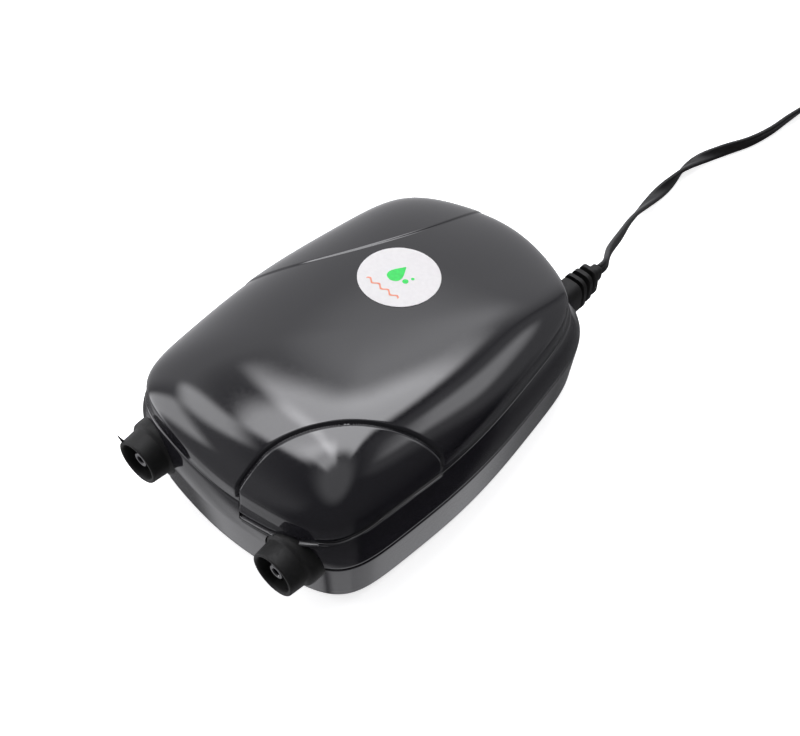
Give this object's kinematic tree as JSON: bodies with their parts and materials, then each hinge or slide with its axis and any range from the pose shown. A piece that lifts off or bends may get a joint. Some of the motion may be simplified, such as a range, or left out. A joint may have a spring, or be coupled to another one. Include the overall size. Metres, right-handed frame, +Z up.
{
  "type": "aquarium air pump",
  "caption": "Mains aquarium air pump: a rounded case with two rubber-sleeved air outlets, twin vibrating arms, diaphragms and flap valves, on a flat twin lead.",
  "frame": {"origin": "centre of the bounding box of the pump without its lead, at the plane of its feet", "axes": "+Z up, +Y along the case from the air outlets towards the mains lead, +X to the right when looking along +Y"},
  "size_m": [0.1459, 0.3455, 0.0458],
  "materials": {
    "casing": "glossy charcoal ABS",
    "rubber": "black moulded rubber",
    "cord": "black PVC",
    "label": "white vinyl sticker",
    "white_plastic": "natural white moulding",
    "steel": "zinc plated",
    "lamination": "varnished silicon steel sheets",
    "copper": "enamelled copper wire",
    "magnet": "ferrite",
    "brass": "turned brass",
    "felt": "needled felt"
  },
  "bodies": {
    "housing": {"air_filter": "felt", "casing_screw_front_left": "steel", "casing_screw_front_right": "steel", "casing_screw_rear_left": "steel", "casing_screw_rear_right": "steel", "chassis_plate": "white_plastic", "chassis_screw_left": "steel", "chassis_screw_right": "steel", "coil_bobbin": "white_plastic", "coil_winding": "copper", "cord_coil": "cord", "cord_tail": "cord", "cord_tie": "rubber", "core_clamp": "steel", "core_laminations": "lamination", "core_screw_left": "steel", "core_screw_right": "steel", "diaphragm_left": "rubber", "diaphragm_right": "rubber", "foot_front_left": "rubber", "foot_front_right": "rubber", "foot_rear_left": "rubber", "foot_rear_right": "rubber", "label": "label", "lead_wire_left": "cord", "lead_wire_right": "white_plastic", "lid_screw_lower_left": "steel", "lid_screw_lower_right": "steel", "lid_screw_upper_left": "steel", "lid_screw_upper_right": "steel", "lower_casing": "casing", "outlet_duct_left": "casing", "outlet_duct_right": "casing", "outlet_sleeve_left": "rubber", "outlet_sleeve_right": "rubber", "pivot_block_left": "rubber", "pivot_block_right": "rubber", "plug_body": "cord", "plug_pin_left": "brass", "plug_pin_right": "brass", "power_cord": "cord", "strain_relief": "rubber", "upper_cover": "casing", "valve_box_left": "white_plastic", "valve_box_right": "white_plastic", "valve_lid_left": "white_plastic", "valve_lid_right": "white_plastic"},
    "arm_left": {"swing_arm_left": "steel", "magnet_left": "magnet", "diaphragm_screw_left": "steel", "diaphragm_nut_left": "brass"},
    "outlet_valve_left": {"outlet_flap_left": "rubber"},
    "inlet_valve_left": {"inlet_flap_left": "rubber"},
    "arm_right": {"swing_arm_right": "steel", "magnet_right": "magnet", "diaphragm_screw_right": "steel", "diaphragm_nut_right": "brass"},
    "outlet_valve_right": {"outlet_flap_right": "rubber"},
    "inlet_valve_right": {"inlet_flap_right": "rubber"}
  },
  "joints": [
    {"name": "arm_right_swing", "type": "hinge", "parent": "housing", "child": "arm_right", "pos_m": [0.01, -0.044, 0.0201], "axis": [0, 0, 1], "range_deg": [-2.5, 2.5], "stiffness_Nm_per_rad": 0.9, "deforming": ["diaphragm_right"]},
    {"name": "outlet_flap_right_lift", "type": "hinge", "parent": "housing", "child": "outlet_valve_right", "pos_m": [0.0261, -0.0243, 0.0201], "axis": [0, 0, -1], "range_deg": [0, 20], "stiffness_Nm_per_rad": 0.0002},
    {"name": "inlet_flap_right_lift", "type": "hinge", "parent": "housing", "child": "inlet_valve_right", "pos_m": [0.0224, -0.0093, 0.0201], "axis": [0, 0, -1], "range_deg": [0, 18], "stiffness_Nm_per_rad": 0.0002},
    {"name": "arm_left_swing", "type": "hinge", "parent": "housing", "child": "arm_left", "pos_m": [-0.01, -0.044, 0.0201], "axis": [0, 0, 1], "range_deg": [-2.5, 2.5], "stiffness_Nm_per_rad": 0.9, "deforming": ["diaphragm_left"]},
    {"name": "outlet_flap_left_lift", "type": "hinge", "parent": "housing", "child": "outlet_valve_left", "pos_m": [-0.0261, -0.0243, 0.0201], "axis": [0, 0, 1], "range_deg": [0, 20], "stiffness_Nm_per_rad": 0.0002},
    {"name": "inlet_flap_left_lift", "type": "hinge", "parent": "housing", "child": "inlet_valve_left", "pos_m": [-0.0224, -0.0093, 0.0201], "axis": [0, 0, 1], "range_deg": [0, 18], "stiffness_Nm_per_rad": 0.0002}
  ],
  "couplings": [
    {"joint": "arm_left_swing", "follows": "arm_right_swing", "ratio": -1}
  ]
}
